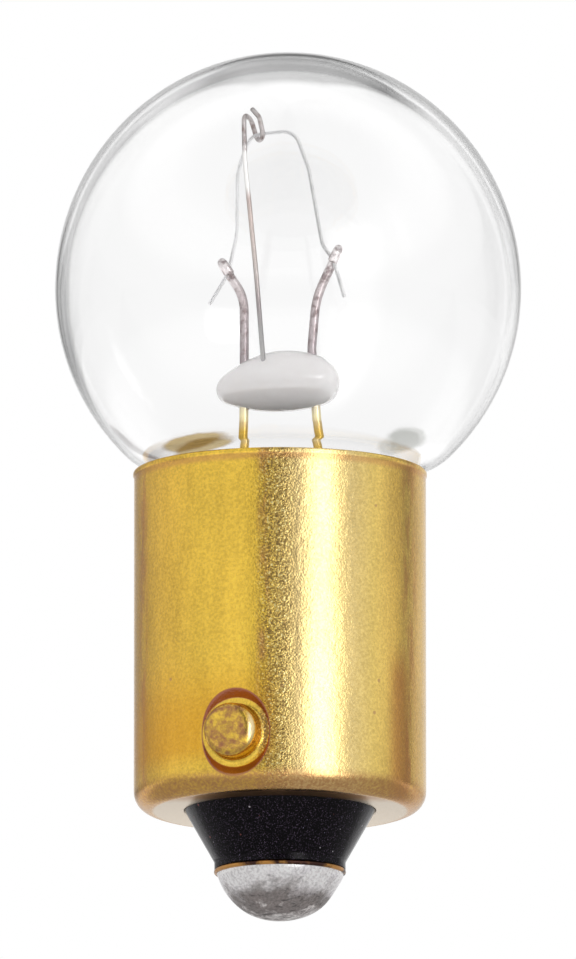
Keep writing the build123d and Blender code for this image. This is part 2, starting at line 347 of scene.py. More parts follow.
# Grain: crystals of the metal, a fine noise over a coarser one.
grainForm = {"coarseScale": 0.3, "coarseShare": 0.35}
grainGroup, grainIn, grainOut = newGroup("metal grain", ("Vector", "Scale"), "Height")
fineGrain = noise(grainIn["Vector"], grainIn["Scale"], detail=2.0, roughness=0.55)
coarseGrain = noise(grainIn["Vector"], times(grainIn["Scale"], grainForm["coarseScale"]), detail=1.0)
link(plus(fineGrain, times(coarseGrain, grainForm["coarseShare"])), grainOut, "Height")

# Flecks: small spots near the seeds of a cell pattern, fading over the outer half of each.
fleckGroup, fleckIn, fleckOut = newGroup("fleck mask", ("Vector", "Scale", "Size"), "Mask")
fleckInputs = {"Vector": fleckIn["Vector"], "Scale": fleckIn["Scale"], "Randomness": 1.0}
fleckDistance = addNode("TexVoronoi", fleckInputs).outputs["Distance"]
link(spread(fleckDistance, fleckIn["Size"], times(fleckIn["Size"], 0.5)), fleckOut, "Mask")


# The shader's normal leaning with the slope of a height.
def addBump(shader, height, strength, depth):
    bump = addNode("Bump", {"Strength": strength, "Distance": depth, "Height": height})
    link(bump.outputs["Normal"], shader, "Normal")


# Grain as a bump of the given strength and depth.
def addGrain(shader, place, scale, strength, depth):
    addBump(shader, placeGroup(grainGroup, place, Scale=scale), strength, depth)


# finishes

# Clear glass with faint blown streaks, a noise as a shallow bump.
glassForm = {"ior": 1.42, "streakStrength": 0.1, "streakDepth": 0.0001,
             "globeStreaks": 150.0, "tubeStreaks": 400.0, "tubeTint": (0.95, 0.96, 0.955)}


def makeClearGlass(name, tint, streakScale):
    form = glassForm
    material, shader, place = newMaterial(
        name, Base_Color=(*tint, 1), Roughness=0.0, IOR=form["ior"], Transmission_Weight=1.0
    )
    addBump(shader, noise(place, streakScale, detail=1.0), form["streakStrength"], form["streakDepth"])
    return material, shader, place


# Painted reflections on the globe near the cap: the brass seen gold through the neck on the left, a
# grey-green reflection on the right and a dark streak of the surroundings at the far left. Each has the
# bearing and height of its middle, half sizes, lean, tone and strength, and is an ellipse, sqrt((b / w)^2 +
# (z / h)^2), with a ragged edge.
neckReflectionForm = {"shift": 0.25, "raggedScale": 1500.0, "ragged": 0.08, "edge": (1.05, 0.7),
            "paintedReflections": [(-41, 9.17, 20, 0.17, 0.004, (0.34, 0.2, 0.03), 0.95),
                      (50, 9.32, 11, 0.33, -0.004, (0.3, 0.31, 0.27), 0.62),
                      (-75.5, 9.5, 4.0, 0.55, -0.09, (0.32, 0.3, 0.3), 0.7)]}


def makeGlobeGlass():
    form, colour = neckReflectionForm, (1, 1, 1)
    material, shader, place = makeClearGlass("clearGlass", colour, glassForm["globeStreaks"])
    side = plus(alongAxis(place, across), -form["shift"] * mm)
    bearing = times(calc("ARCTAN2", side, alongAxis(place, front)), 1 / degree)
    height = alongAxis(place, upward)
    ragged = even(noise(place, form["raggedScale"], detail=2.0), 0.3, 0.7, -form["ragged"], form["ragged"])
    # each ellipse paints a reflection into the glass's tint
    for middle, level, halfWidth, halfHeight, lean, tone, strength in form["paintedReflections"]:
        sideways = plus(bearing, -middle)
        upwards = times(plus(height, -level * mm), 1 / mm)
        upwards = plus(upwards, times(sideways, -lean))
        reach = longSide(calc("DIVIDE", sideways, halfWidth), calc("DIVIDE", upwards, halfHeight))
        colour = mixColour(spread(plus(reach, ragged), *form["edge"], 0, strength), colour, tone)
    link(colour, shader, "Base Color")
    return material


# Finishes of two tones, mixed by clouds, with a grain: the opal glass of the bead, milky and a little
# darker where it is thick; the eyelet's copper-toned brass; and the gritty cement. Grain: scale, strength
# and depth.
cloudyForms = {
    "opalGlass": {"tones": ((0.965, 0.895, 0.89), (0.99, 0.935, 0.935)), "grain": (2500.0, 0.05, 0.00005),
                  "clouds": {"Scale": 900.0, "Low": 0.35, "High": 0.7}},
    "eyeletBrass": {"tones": ((0.62, 0.31, 0.09), (0.06, 0.03, 0.025)), "grain": (9000.0, 0.8, 0.00002),
                    "clouds": {"Scale": 1500.0, "Low": 0.42, "High": 0.6}},
    "cement": {"tones": ((0.42, 0.31, 0.2), (0.66, 0.55, 0.4)), "grain": (6000.0, 0.8, 0.0001),
               "clouds": {"Scale": 2600.0, "Low": 0.3, "High": 0.7}},
}


def makeCloudy(name, **values):
    form = cloudyForms[name]
    material, shader, place = newMaterial(name, **values)
    link(mixColour(placeGroup(cloudGroup, place, **form["clouds"]), *form["tones"]), shader, "Base Color")
    addGrain(shader, place, *form["grain"])
    return material


# Drawn wire: tones along an axis, with darker blotches above a level. The tones also paint light: the gold
# low on the leads is partly the wire's copper and partly a painted reflection of the brass, the pale
# stretches just under the bead and near the leads' tops are painted highlights, the pale band high on the
# support is a painted glare, and the filament is painted paler on the left than on the right.
wireForms = {
    "leadWire": {"dark": (0.25, 0.19, 0.19), "blotchFrom": 12.4, "stops": [
        (9.86, (0.66, 0.43, 0.085)), (10.33, (0.69, 0.51, 0.225)), (10.64, (0.95, 0.83, 0.48)),
        (11.3, (0.58, 0.51, 0.47)), (12.4, (0.35, 0.3, 0.315)), (14.4, (0.58, 0.51, 0.515)),
        (15.4, (0.8, 0.75, 0.75))]},
    "supportWire": {"dark": (0.25, 0.19, 0.175), "blotchFrom": 19.1, "stops": [
        (12.2, (0.35, 0.34, 0.34)), (13.2, (0.31, 0.305, 0.305)), (14.1, (0.325, 0.28, 0.285)),
        (15.1, (0.5, 0.45, 0.43)), (16.8, (0.58, 0.485, 0.45)), (17.4, (0.52, 0.425, 0.4)),
        (17.8, (0.98, 0.97, 0.95)), (18.8, (0.97, 0.95, 0.94)), (19.2, (0.45, 0.41, 0.41)),
        (20.2, (0.56, 0.52, 0.51))]},
    "filamentWire": {"dark": (0.85, 0.85, 0.85), "blotchFrom": 14.0, "stops": [
        (-1.4, (0.97, 0.97, 0.98)), (0.0, (0.96, 0.96, 0.97)), (1.2, (0.68, 0.68, 0.68))]},
}


def makeWire(name, roughness=0.35, axis=upward):
    form = wireForms[name]
    material, shader, place = newMaterial(name, Metallic=1.0, Roughness=roughness)
    tone = tonesAlong(alongAxis(place, axis), form["stops"])
    blotch = placeGroup(cloudGroup, place, Scale=4200.0, Low=0.44, High=0.66)
    blotch = times(blotch, spreadMm(alongAxis(place, upward), form["blotchFrom"] - 0.3, form["blotchFrom"]))
    link(mixColour(blotch, tone, form["dark"]), shader, "Base Color")
    addGrain(shader, place, scale=14000.0, strength=0.3, depth=0.00002)
    return material


# Brass of the cap: grained and mottled, brown in the pads' steps and under the lip, with painted light: a
# painted highlight down the front and on the pins' heads, painted glints, a painted dark reflection round the
# corner, and its flat end painted pale as a reflection of the floor, with painted shade at the end's front.
# Tones run across; bands are in millimetres; a streak has its middle and half width.
brassForm = {"tones": [(-4.4, (0.88, 0.55, 0.1)), (-3.5, (0.9, 0.56, 0.08)), (-2.5, (0.86, 0.56, 0.07)),
                       (-0.5, (0.9, 0.59, 0.07)), (0.55, (0.91, 0.68, 0.29)), (2.2, (0.9, 0.685, 0.28)),
                       (2.9, (0.87, 0.63, 0.17)), (3.6, (0.93, 0.6, 0.13)), (3.95, (0.91, 0.62, 0.16)),
                       (4.15, (0.74, 0.47, 0.14)), (4.4, (0.86, 0.61, 0.2))],
             "lowTone": (0.75, 0.31, 0.0), "lowEdge": (0.53, 0.18, 0.052), "freckle": (0.5, 0.29, 0.14),
             # the pale end's tone is a painted reflection of the floor, the corner's tone a painted dark
             # reflection, and the end's stain painted shade at its front
             "brown": (0.3, 0.08, 0.065), "paintedEndReflection": (0.96, 0.9, 0.81), "redStreak": (0.6, 0.27, 0.1),
             "headBlotch": (0.36, 0.15, 0.07),
             # the bright flecks' tone is a painted glint
             "darkFleck": (0.25, 0.155, 0.055), "paintedGlint": (1.0, 0.86, 0.42),
             # the head edge tone is a painted highlight
             "cornerShadeTone": (0.48, 0.235, 0.085), "headEdge": (0.98, 0.8, 0.44), "bloom": (0.62, 0.42, 0.11),
             "endFrontShade": (0.6, 0.3, 0.1), "streaks": [(-0.5, 0.3), (-4.2, 0.2), (3.96, 0.35)],
             "scuffBand": (-0.9, -0.35, 0.1, 0.5), "lowBand": (-1.1, -0.3, 0.2, 2.8),
             "edgeBand": (3.2, 3.65, 3.75, 4.15), "lipBand": (-0.42, -0.26, -0.18, -0.12),
             "roughness": 0.15, "grainDepth": 0.000014, "waverShare": 0.75}


def makeCapBrass():
    form = brassForm
    material, shader, place = newMaterial(
        "capBrass", Metallic=1.0, Coat_Weight=0.35, Coat_Roughness=0.15, Specular_Tint=(0.82, 0.72, 0.6, 1)
    )
    axes = addNode("SeparateXYZ", {"Vector": place}).outputs
    height = axes["Z"]
    side, toFront = alongAxis(place, across), alongAxis(place, front)
    # tones across, paler where the softbox's highlight falls (partly a paler finish, partly a painted
    # highlight), red streaks, and a mottle of two sizes
    colour = tonesAlong(side, form["tones"])
    stretch = stretched(place, (1, 1, 0.25))
    streaks = placeGroup(cloudGroup, stretch, Scale=2500.0, Low=0.42, High=0.62)
    for middle, halfWidth in form["streaks"]:
        line = spreadMm(awayFrom(side, middle * mm), halfWidth, 0, 0, 0.75)
        colour = mixColour(times(line, streaks), colour, form["redStreak"])
    mottle = placeGroup(cloudGroup, place, Scale=11000.0, Low=0.3, High=0.7)
    patches = placeGroup(cloudGroup, stretch, Scale=700.0, Low=0.3, High=0.7)
    colour = shaded(colour, plus(even(mottle, 0, 1, 0.83, 1.12), even(patches, 0, 1, -0.15, 0.1)))
    # a coarser bloom on the right, and small brown freckles all round
    bloom = spread(noise(place, 13000.0, detail=3.0, roughness=0.6), 0.38, 0.6, 0.32, 0)
    colour = mixColour(times(bloom, spreadMm(side, 0.9, 2.4)), colour, form["bloom"])
    freckle = placeGroup(fleckGroup, place, Scale=800.0, Size=0.06)
    colour = mixColour(times(freckle, 0.7), colour, form["freckle"])
    # dark flecks down a scuffed strip at the front, with bright flecks there that are painted glints
    scuff = times(band(side, form["scuffBand"], mm), spreadMm(toFront, 0, 1.5))
    speck = noise(place, 15000.0, detail=3.0, roughness=0.65)
    colour = mixColour(times(scuff, spread(speck, 0.53, 0.42), 0.85), colour, form["darkFleck"])
    colour = mixColour(times(scuff, spread(speck, 0.56, 0.66)), colour, form["paintedGlint"])
    # the wall is warmer round the pads, and darker low on the right
    fromPin = longSide(axes["X"], height)
    low = times(band(height, form["lowBand"], mm), spreadMm(side, 0.2, -0.7, 0, 0.5))
    low = times(low, spreadMm(fromPin, 1.05, 1.2))
    colour = mixColour(low, colour, form["lowTone"])
    strip = times(band(side, form["edgeBand"], mm), spreadMm(height, 3.2, 1.8, 0, 0.6))
    colour = mixColour(strip, colour, form["lowEdge"])
    # steps of the pads: a ring round each pin's axis, narrow at the sides and wide above and below
    lean = calc("POWER", calc("DIVIDE", height, fromPin), 2)
    beyond = calc("SUBTRACT", fromPin, plus(1.1 * mm, times(lean, 0.265 * mm)))
    ring = times(spreadMm(fromPin, 1.05, 1.1), spreadMm(beyond, 0.03, -0.02))
    colour = mixColour(times(ring, 0.92), colour, form["brown"])
    # blotched heads of the pins, with a painted highlight on the round edge of the heads, at the right of the
    # front one
    head = spreadMm(calc("ABSOLUTE", axes["Y"]), 4.9, 5.15)
    blotch = placeGroup(cloudGroup, place, Scale=4300.0, Low=0.27, High=0.72)
    colour = mixColour(times(head, blotch), colour, form["headBlotch"])
    paintedHeadHighlight = times(spreadMm(fromPin, 0.5, 0.58), spreadMm(side, -1.05, -0.85), head)
    colour = mixColour(paintedHeadHighlight, colour, form["headEdge"])
    # brown line under the lip, a painted dark reflection round the corner, and the flat end painted pale as a
    # reflection of the floor, with painted shade at its front
    underLip = band(height, [shellTop + drop for drop in form["lipBand"]], mm)
    colour = mixColour(times(underLip, 0.5), colour, form["redStreak"])
    paintedCornerShade = times(spreadMm(height, -1.0, -1.42), even(mottle, 0, 1, 0.95, 0.55))
    colour = mixColour(paintedCornerShade, colour, form["cornerShadeTone"])
    end = times(spreadMm(height, -1.6, -1.7), spreadMm(lengthOf(stretched(place, (1, 1, 0))), 4.0, 3.85))
    colour = mixColour(end, colour, form["paintedEndReflection"])
    colour = mixColour(times(end, spreadMm(toFront, 1.5, 2.7, 0, 0.85)), colour, form["endFrontShade"])
    link(colour, shader, "Base Color")
    rough = even(mottle, 0, 1, form["roughness"] + 0.05, form["roughness"])
    link(plus(rough, times(end, 0.2)), shader, "Roughness")
    # a grain, deeper in the scuff, and a coarser waver that breaks the edges of what the wall reflects
    depth = times(placeGroup(grainGroup, place, Scale=17000.0), even(scuff, 0, 1, 0.5, 1.5))
    waver = noise(place, 3400.0, detail=3.0, roughness=0.6)
    addBump(shader, plus(depth, times(waver, form["waverShare"])), 1.0, form["grainDepth"])
    return material


# Black glass of the insulator: glossy, with a haze and pale flecks. Flecks: scale, size and tone.
blackForm = {"body": (0.001, 0.0006, 0.0013), "haze": (0.1, 0.075, 0.12),
             "flecks": [(2100.0, 0.08, (0.38, 0.36, 0.4)), (1700.0, 0.09, (0.2, 0.07, 0.06)),
                        (3100.0, 0.07, (0.12, 0.11, 0.17))]}


def makeBlackGlass():
    material, shader, place = newMaterial("blackGlass", Roughness=0.14, IOR=1.5, Specular_IOR_Level=0.1)
    haze = spread(noise(place, 22000.0, detail=2.0, roughness=0.7), 0.54, 0.76)
    colour = mixColour(haze, blackForm["body"], blackForm["haze"])
    for scale, size, tone in blackForm["flecks"]:
        colour = mixColour(placeGroup(fleckGroup, place, Scale=scale, Size=size), colour, tone)
    link(colour, shader, "Base Color")
    addGrain(shader, place, scale=5000.0, strength=0.2, depth=0.00004)
    return material


# Solder: pale above, dark and scratched lower down, pale again at the tip; the stops are shares of its
# height.
solderForm = {"stops": [(0.0, (0.95, 0.91, 0.89)), (0.1, (0.78, 0.73, 0.72)), (0.2, (0.34, 0.3, 0.29)),
                        (0.4, (0.31, 0.28, 0.27)), (0.6, (0.58, 0.54, 0.55)), (0.78, (0.9, 0.875, 0.91)),
                        (1.0, (0.97, 0.95, 0.98))],
              "height": 1.43, "scratch": (0.12, 0.11, 0.11), "flank": (0.97, 0.95, 0.95),
              "scratchTurn": (0.3, 0.5, 0.6), "scratchStretch": (0.16, 1, 1.4)}


def makeSolder():
    form = solderForm
    material, shader, place = newMaterial("solder", Metallic=0.75, Roughness=0.42)
    share = even(alongAxis(place, upward), solderTip * mm, (solderTip + form["height"]) * mm)
    waver = noise(place, 1700.0, detail=8.0, roughness=0.65)
    share = plus(share, even(waver, 0.25, 0.75, -0.3, 0.3))
    lie = {"Vector": place, "Rotation": form["scratchTurn"], "Scale": form["scratchStretch"]}
    lie = addNode("Mapping", lie).outputs["Vector"]
    scratch = placeGroup(cloudGroup, lie, Scale=11000.0, Low=0.52, High=0.66)
    scratch = times(scratch, spread(share, 0.95, 0.55, 0.15, 0.75))
    colour = mixColour(scratch, toneRamp(share, form["stops"]), form["scratch"])
    flank = spreadMm(lengthOf(stretched(place, (1, 1, 0))), 1.45, 1.75)
    colour = mixColour(times(flank, spread(waver, 0.35, 0.55, 0.35, 0.9)), colour, form["flank"])
    speck = even(noise(place, 12000.0, detail=3.0), 0.3, 0.7, 0.72, 1.2)
    link(shaded(colour, speck), shader, "Base Color")
    addGrain(shader, place, scale=4500.0, strength=0.7, depth=0.00006)
    return material


clearGlass = makeGlobeGlass()
tubeGlass = makeClearGlass("tubeGlass", glassForm["tubeTint"], glassForm["tubeStreaks"])[0]
opalGlass = makeCloudy(
    "opalGlass", Roughness=0.16, IOR=1.5, Subsurface_Weight=0.6, Subsurface_Scale=0.004,
    Subsurface_Radius=(1, 1, 1), Coat_Weight=1.0, Coat_Roughness=0.04
)
leadWire = makeWire("leadWire")
supportWire = makeWire("supportWire")
filamentWire = makeWire("filamentWire", roughness=0.5, axis=across)
capBrass = makeCapBrass()
eyeletBrass = makeCloudy("eyeletBrass", Metallic=1.0, Roughness=0.32)
blackGlass = makeBlackGlass()
solder = makeSolder()
cement = makeCloudy("cement", Roughness=0.9)
print("finishes ready")


# the globe: ball, shoulder, waist and neck, with a wall that is thin at the waist and thickens to the crown
globeForm = {"radius": 7.2, "crownRise": 0.12, "wall": 0.3, "shift": 0.25, "shoulder": 1.6, "waist": 1.0,
             "waistAngle": 75, "neck": 3.63, "sealThickness": 1.0, "sealRound": 1.2, "bore": 0.4,
             "skinAllowance": 0.004, "waistWall": 0.12,
             "wallLevels": [8.2, 14.6, 21.8], "wallShares": [0.2, 1.0, 2.1],
             "steps": (60, 32, 10, 20, 12), "segments": 192}
globeLevel = boxes["globe"][1][2] - globeForm["radius"] - globeForm["crownRise"]
sealLevel = boxes["globe"][0][2]


# Half outline of the glass, from the crown down to its foot, moved in by the inset.
def envelopeProfile(form, inset, footLevel, footRound):
    crownSteps, bellySteps, shoulderSteps, waistSteps, footSteps = form["steps"]
    ball = form["radius"] - inset
    reach = form["radius"] - form["shoulder"]
    turnIn = form["shoulder"] + form["waist"]
    waistAngle, waistTurn = form["waistAngle"], math.radians(form["waistAngle"])
    shoulderTurn = math.acos((form["neck"] + form["waist"] - turnIn * math.cos(waistTurn)) / reach)
    shoulderAngle = math.degrees(shoulderTurn)
    shoulderCentre = (reach * math.cos(shoulderTurn), globeLevel - reach * math.sin(shoulderTurn))
    waistCentre = (form["neck"] + form["waist"], shoulderCentre[1] - turnIn * math.sin(waistTurn))
    footCentre = (form["neck"] - inset - footRound, footLevel + footRound)
    return np.concatenate([
        arcPoints((0, 0), 1, 90, 0, crownSteps) * (ball, ball + form["crownRise"]) + (0, globeLevel),
        arcPoints((0, globeLevel), ball, 0, -shoulderAngle, bellySteps)[1:],
        arcPoints(shoulderCentre, form["shoulder"] - inset, -shoulderAngle, -waistAngle, shoulderSteps)[1:],
        arcPoints(waistCentre, form["waist"] + inset, 180 - waistAngle, 180, waistSteps)[1:],
        arcPoints(footCentre, footRound, 0, -90, footSteps),
    ])


# The outline turned about the glass's own axis: outside, exhaust hole and inside, thin + (full - thin) share.
def makeGlobe():
    form = globeForm
    outside = envelopeProfile(form, 0, sealLevel, form["sealRound"])
    sealTop = sealLevel + form["sealThickness"]
    inside, thinInside = [
        envelopeProfile(form, wall, sealTop, form["sealRound"] - wall)[::-1]
        for wall in (form["wall"], form["waistWall"])
    ]
    share = np.interp(inside[:, 1], form["wallLevels"], form["wallShares"])[:, None]
    inside = thinInside + (inside - thinInside) * share
    hole = np.array([[form["bore"], sealLevel], [form["bore"], sealTop]])
    profile = np.concatenate([outside, hole, inside])
    profile[:, 0] = np.maximum(profile[:, 0] - form["skinAllowance"] * (profile[:, 0] > form["bore"]), 0)
    centres = np.repeat([across * form["shift"]], len(profile), axis=0)
    centres[len(outside):len(outside) + len(hole)] = 0  # the exhaust hole stays on the cap's axis
    points = lathe(profile, form["segments"], centres)
    makePiece("globeGlass", [wholeGrid(points)], clearGlass, "globe")


makeGlobe()

# the wires, in the leads' plane: across, up and out to the front
leadForm = {"diameter": 0.28, "hookLength": 0.5, "hookBendShare": 0.49, "hookSlack": 0.01,
            "throatShare": 0.88, "gap": 0.15, "dip": 2.88, "sideEnd": 8.33, "centreTurn": (2.48, 0.48),
            "centreEnd": -4.32, "feet": (-16, 21.5), "shellBore": 4.25,
            "sideBends": [0.5, 0.5, 2.5, 1.5], "centreBends": [0.6, 0.6, 3, 2, 3]}
coilForm = {"diameter": 0.13, "wire": 0.034, "pitch": 0.05, "bends": [1, 3, 2, 0.5, 0.5, 1.5, 0.9, 0.8],
            "bendSteps": 24, "turnSteps": 14, "sides": 6, "crease": 80}
rodForm = {"bendSteps": 14, "sides": 20, "crease": 60}
supportForm = {"diameter": 0.15, "out": 0.64, "pigtailDepth": 0.6, "bends": [12, 5] + [0.25] * 5}
fold = leadForm["diameter"] + coilForm["diameter"] + leadForm["hookSlack"]
hookBend = fold * leadForm["hookBendShare"]


# A place in percent of the globe's radius from the cap's axis and the globe's level.
def spot(xPercent, yPercent, out=0.0):
    share = globeForm["radius"] / 100
    return np.array([xPercent * share, globeLevel + yPercent * share, out])


# Up to the tip, over to the front and back down over the filament.
def hook(bend, tip):
    over = np.array([0, 0, fold])
    return [tip, tip + over, tip + over + unit(bend - tip) * leadForm["hookLength"]]


# Where the filament crosses between a hook's legs.
def throat(bend, tip):
    return tip + unit(bend - tip) * fold * leadForm["throatShare"] + np.array([0, 0, fold / 2])


# Places in the leads' plane as places in the frame: x across + y upward + z front.
def toFrame(route):
    return route @ np.stack([across, upward, front])


# A round wire along a bent route, with cut ends.
def makeRod(name, route, bends, diameter, material, node):
    path, radius = closeEnds(toFrame(bendRoute(route, bends, rodForm["bendSteps"])), diameter / 2)
    points = sweepTube(path, radius, rodForm["sides"], across)
    makePiece(name, [wholeGrid(points)], material, node, rodForm["crease"])


sideBend, sideTip = spot(-15.4, -2.5), spot(-24.9, 11.8)
centreBend, centreTip = spot(15.5, -2.8), spot(25.1, 17.9)


# The leads: one from behind the neck, under it and up, the other from the contact up; both end in hooks.
def makeLeads():
    sideFoot, centreFoot = [share * globeForm["radius"] / 100 for share in leadForm["feet"]]
    wallReach = leadForm["shellBore"] - leadForm["gap"] - leadForm["diameter"] / 2
    sideBack = -math.sqrt(wallReach**2 - sideFoot**2)
    sideRoute = [
        (sideFoot, leadForm["sideEnd"], sideBack),
        (sideFoot, leadForm["dip"], sideBack),
        (sideFoot, leadForm["dip"], 0),
        spot(-15.3, -21),
        sideBend,
        *hook(sideBend, sideTip),
    ]
    makeRod("sideLeadWire", sideRoute, leadForm["sideBends"] + [hookBend] * 2, leadForm["diameter"],
            leadWire, "side_lead")
    centreRoute = [
        (0, leadForm["centreEnd"], 0),
        (0, leadForm["centreTurn"][1], 0),
        (centreFoot, leadForm["centreTurn"][0], 0),
        (centreFoot, sealLevel + globeForm["sealThickness"] / 2, 0),
        spot(13.6, -25),
        centreBend,
        *hook(centreBend, centreTip),
    ]
    makeRod("centreLeadWire", centreRoute, leadForm["centreBends"] + [hookBend] * 2, leadForm["diameter"],
            leadWire, "centre_lead")


# The support: up from the bead's front, behind the filament, under it and round to the front.
def makeSupport():
    near, far = (fold + supportForm["pigtailDepth"]) / 2, (fold - supportForm["pigtailDepth"]) / 2
    route = [
        spot(-6.6, -39, supportForm["out"]),
        spot(-10.4, 8, supportForm["out"]),
        spot(-15.2, 57, near),
        spot(-15.7, 76.7, near),
        spot(-12.7, 76.7, far),
        spot(-9.7, 66.4, far),
        spot(-7, 66.4, near),
        spot(-9, 75.4, near),
        spot(-12.2, 80.2, fold / 2),
    ]
    makeRod("supportWirePigtail", route, supportForm["bends"], supportForm["diameter"],
            supportWire, "filament_support")


# The coil: a helix about the filament's path, path + r (front cos t + side sin t), one turn for each pitch,
# and the wire swept along it.
def makeFilament():
    form, out = coilForm, fold / 2
    route = [
        spot(-30.3, -6.5, out),
        throat(sideBend, sideTip),
        spot(-18.6, 24.5, out),
        spot(-18.3, 52.5, out),
        spot(-12.6, 68.3, out),
        spot(6.2, 70.3, out),
        spot(12.4, 53, out),
        spot(18.2, 19.5, out),
        throat(centreBend, centreTip),
        spot(27.6, -3.2, out),
    ]
    path = toFrame(bendRoute(route, form["bends"], form["bendSteps"]))
    along = np.concatenate([[0], np.cumsum(np.linalg.norm(np.diff(path, axis=0), axis=1))])
    turns = along[-1] / form["pitch"]
    steps = np.linspace(0, along[-1], int(turns * form["turnSteps"]))
    axis = np.stack([np.interp(steps, along, path[:, k]) for k in range(3)], -1)
    side = unit(np.cross(np.gradient(axis, axis=0), front))
    turn = (2 * math.pi * steps / form["pitch"])[:, None]
    spokes = front * np.cos(turn) + side * np.sin(turn)
    coil = axis + spokes * (form["diameter"] - form["wire"]) / 2
    radius = np.full(len(coil), form["wire"] / 2)
    radius[[0, -1]] = 0
    points = sweepTube(coil, radius, form["sides"], spokes)
    makePiece("filamentCoil", [wholeGrid(points)], filamentWire, "filament", form["crease"])


makeLeads()
makeSupport()
makeFilament()

# the bead: a loaf of three arcs turned about its length, fuller on the right than on the left
beadForm = {"length": 3.82, "radius": 0.95, "crown": 3.75, "peak": 0.2, "tilt": 4.5, "centre": (-1, -39.6),
            "droop": 0.14, "leftTaper": 0.12, "endSteps": 20, "crownSteps": 40, "segments": 64}


# The round of an end that meets the long curve smoothly, and the angle that they meet at.
def beadEnd(reach):
    crown, radius = beadForm["crown"], beadForm["radius"]
    endRound = (radius * (2 * crown - radius) - reach**2) / (2 * (crown - reach))
    return endRound, math.degrees(math.acos((reach - endRound) / (crown - endRound)))


# The loaf: its outline turned about its length, tilted, thinner at the upper left and drooping to both ends.
def makeBead():
    form, endSteps = beadForm, beadForm["endSteps"]
    leftReach, rightReach = form["length"] / 2 + form["peak"], form["length"] / 2 - form["peak"]
    leftRound, leftTurn = beadEnd(leftReach)
    rightRound, rightTurn = beadEnd(rightReach)
    crownMiddle = (0, form["radius"] - form["crown"])
    leftEnd = arcPoints((leftRound - leftReach, 0), leftRound, 180, 180 - leftTurn, endSteps)
    crown = arcPoints(crownMiddle, form["crown"], 180 - leftTurn, rightTurn, form["crownSteps"])[1:]
    rightEnd = arcPoints((rightReach - rightRound, 0), rightRound, rightTurn, 0, endSteps)[1:]
    profile = np.concatenate([leftEnd, crown, rightEnd]) + (form["peak"], 0)
    profile[[0, -1], 1] = 0
    turn = np.linspace(0, 2 * math.pi, form["segments"], endpoint=False)
    tilt = math.radians(form["tilt"])
    along = across * math.cos(tilt) + upward * math.sin(tilt)
    over = upward * math.cos(tilt) - across * math.sin(tilt)
    length, radius = profile[:, :1], profile[:, 1:]
    share = length / (form["length"] / 2)
    rise, out = radius * np.cos(turn), radius * np.sin(turn)
    rise = rise * (1 - form["leftTaper"] * np.clip(-share, 0, 1)**2 * (rise > 0)) - form["droop"] * share**2
    middle = toFrame(spot(*form["centre"])[None])[0]
    points = middle + length[..., None] * along + rise[..., None] * over + out[..., None] * front
    makePiece("beadGlass", [wholeGrid(points)], opalGlass, "bead")


makeBead()

# the shell: a drawn cup turned about the cap's axis, with a patch set into it for each pin
# The lip has rows of (drop below the rim, share of its rise); a window reaches its columns to both sides.
shellForm = {"radius": 4.5, "wall": 0.25, "corner": 0.6, "mouth": 2.93, "lipRise": 0.03,
             "lip": [(0.18, 0), (0.14, 0.5), (0.1, 1), (0.06, 1)], "edge": 0.05, "bevel": 0.04,
             "windowLow": -1.5, "windowHigh": 1.6, "wallFrom": 1.85, "windowColumns": 22,
             "segments": 360, "crease": 50}
pinForm = {"radius": 0.83, "round": 0.3, "foot": 0.16, "padRadius": 1.08, "padRimRadius": 1.36,
           "padReach": 4.36, "blendRows": 6, "noReach": 99.0}
shellBottom = boxes["shell"][0][2]
pinReach = boxes["shell"][1][1]
shellBore = shellForm["radius"] - shellForm["wall"]
cornerLevel = shellBottom + shellForm["corner"]
cornerMiddle = (shellForm["radius"] - shellForm["corner"], cornerLevel)
innerCorner = arcPoints(cornerMiddle, shellForm["corner"] - shellForm["wall"], 0, -90, 8)
windowColumns, shellSegments = shellForm["windowColumns"], shellForm["segments"]


# Rows of (radius, height) from two values, either of which may be a single number.
def rowsOf(first, second):
    return np.stack(np.broadcast_arrays(first, second), -1)


# Outside radius of the shell at a height: the wall, or the rounded corner below it.
def outsideRadius(height):
    drop = np.clip(cornerLevel - height, 0, shellForm["corner"])
    return shellForm["radius"] - shellForm["corner"] + np.sqrt(shellForm["corner"]**2 - drop**2)


# Inside radius of the shell, the same at each height.
def insideRadius(height):
    return np.full_like(height, shellBore)


# A point round the cap at a radius, an angle from the front pin and a height.
def roundCap(radius, angle, height):
    return np.stack(np.broadcast_arrays(radius * np.sin(angle), -radius * np.cos(angle), height), -1)


